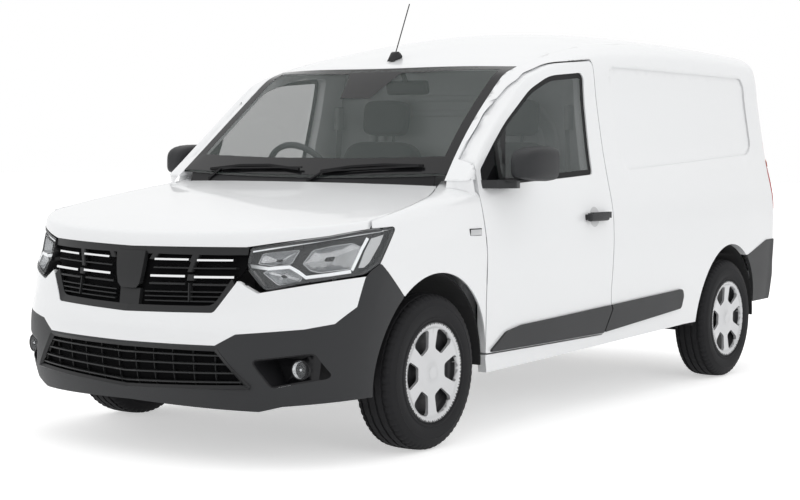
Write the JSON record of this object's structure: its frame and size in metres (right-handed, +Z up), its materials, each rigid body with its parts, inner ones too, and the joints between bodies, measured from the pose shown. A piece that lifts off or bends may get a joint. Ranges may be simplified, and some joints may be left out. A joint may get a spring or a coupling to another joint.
{
  "type": "panel van",
  "caption": "Compact panel van with a closed cab, bulkhead, long load space, side doors, twin rear doors, opening bonnet and steered front wheels.",
  "frame": {"origin": "on the ground, under the middle of the van's overall length and width", "axes": "+X to the van's left side, +Y from the nose to the tail, +Z up"},
  "size_m": [2.077, 4.399, 1.8829],
  "materials": {
    "white_paint": "gloss white",
    "screen_glass": "clear, faint green",
    "side_glass": "clear, faint green",
    "dark_plastic": "grained dark grey",
    "grille_plastic": "satin black",
    "cab_plastic": "grained charcoal",
    "liner_plastic": "rough black",
    "seat_fabric": "woven dark grey",
    "lamp_lens": "clear lens over silver",
    "red_lens": "red lens",
    "dark_iron": "as cast",
    "dark_steel": "satin black",
    "exhaust_steel": "dull",
    "tyre_rubber": "matt black",
    "wheel_silver": "silver"
  },
  "bodies": {
    "body": {"antenna": "dark_plastic", "body_sides": "white_paint", "bulkhead": "white_paint", "cowl": "dark_plastic", "dashboard": "cab_plastic", "engine_block": "dark_iron", "exhaust": "exhaust_steel", "firewall": "white_paint", "floor": "white_paint", "fog_lamps": "dark_plastic", "front_bumper": "white_paint", "front_subframe": "dark_steel", "fuel_tank": "liner_plastic", "grille": "grille_plastic", "headlamps": "lamp_lens", "lower_bumper": "dark_plastic", "lower_grille": "dark_plastic", "rear_axle": "dark_steel", "rear_bumper": "dark_plastic", "rear_frame": "white_paint", "roof": "white_paint", "seats": "seat_fabric", "side_strips": "dark_plastic", "steering_wheel": "cab_plastic", "tail_lamps": "red_lens", "wheel_liners": "liner_plastic", "windscreen": "screen_glass", "wings": "white_paint", "wipers": "dark_plastic"},
    "bonnet": {"bonnet": "white_paint"},
    "door_left": {"door_left": "white_paint", "door_glass_left": "side_glass", "mirror_left": "dark_plastic", "door_trim_left": "dark_plastic"},
    "door_right": {"door_right": "white_paint", "door_glass_right": "side_glass", "mirror_right": "dark_plastic", "door_trim_right": "dark_plastic"},
    "rear_door_left": {"rear_door_left": "white_paint"},
    "rear_door_right": {"rear_door_right": "white_paint"},
    "upright_left": {"knuckle_left": "dark_iron"},
    "upright_right": {"knuckle_right": "dark_iron"},
    "wheel_front_left": {"tyre_front_left": "tyre_rubber", "wheel_front_left": "wheel_silver"},
    "wheel_front_right": {"tyre_front_right": "tyre_rubber", "wheel_front_right": "wheel_silver"},
    "wheel_rear_left": {"tyre_rear_left": "tyre_rubber", "wheel_rear_left": "wheel_silver"},
    "wheel_rear_right": {"tyre_rear_right": "tyre_rubber", "wheel_rear_right": "wheel_silver"}
  },
  "joints": [
    {"name": "bonnet_hinge", "type": "hinge", "parent": "body", "child": "bonnet", "pos_m": [0, -1.105, 1.03], "axis": [-1, 0, 0], "range_deg": [0, 50]},
    {"name": "door_left_hinge", "type": "hinge", "parent": "body", "child": "door_left", "pos_m": [0.8635, -0.9115, 0.75], "axis": [0, 0, -1], "range_deg": [0, 68]},
    {"name": "door_right_hinge", "type": "hinge", "parent": "body", "child": "door_right", "pos_m": [-0.8635, -0.9115, 0.75], "axis": [0, 0, 1], "range_deg": [0, 68]},
    {"name": "rear_door_left_hinge", "type": "hinge", "parent": "body", "child": "rear_door_left", "pos_m": [0.668, 2.1795, 1.1], "axis": [0, 0, -1], "range_deg": [0, 180]},
    {"name": "rear_door_right_hinge", "type": "hinge", "parent": "body", "child": "rear_door_right", "pos_m": [-0.668, 2.1795, 1.1], "axis": [0, 0, 1], "range_deg": [0, 180]},
    {"name": "steer_left", "type": "hinge", "parent": "body", "child": "upright_left", "pos_m": [0.726, -1.3235, 0.19], "axis": [-0.2511, 0, 0.968], "range_deg": [-33, 33]},
    {"name": "steer_right", "type": "hinge", "parent": "body", "child": "upright_right", "pos_m": [-0.726, -1.3235, 0.19], "axis": [0.2511, 0, 0.968], "range_deg": [-33, 33]},
    {"name": "spin_front_left", "type": "hinge", "parent": "upright_left", "child": "wheel_front_left", "pos_m": [0.767, -1.3235, 0.311], "axis": [1, 0, 0], "continuous": true},
    {"name": "spin_front_right", "type": "hinge", "parent": "upright_right", "child": "wheel_front_right", "pos_m": [-0.767, -1.3235, 0.311], "axis": [1, 0, 0], "continuous": true},
    {"name": "spin_rear_left", "type": "hinge", "parent": "body", "child": "wheel_rear_left", "pos_m": [0.767, 1.4885, 0.311], "axis": [1, 0, 0], "continuous": true},
    {"name": "spin_rear_right", "type": "hinge", "parent": "body", "child": "wheel_rear_right", "pos_m": [-0.767, 1.4885, 0.311], "axis": [1, 0, 0], "continuous": true}
  ],
  "couplings": [
    {"joint": "steer_right", "follows": "steer_left", "ratio": 1}
  ]
}
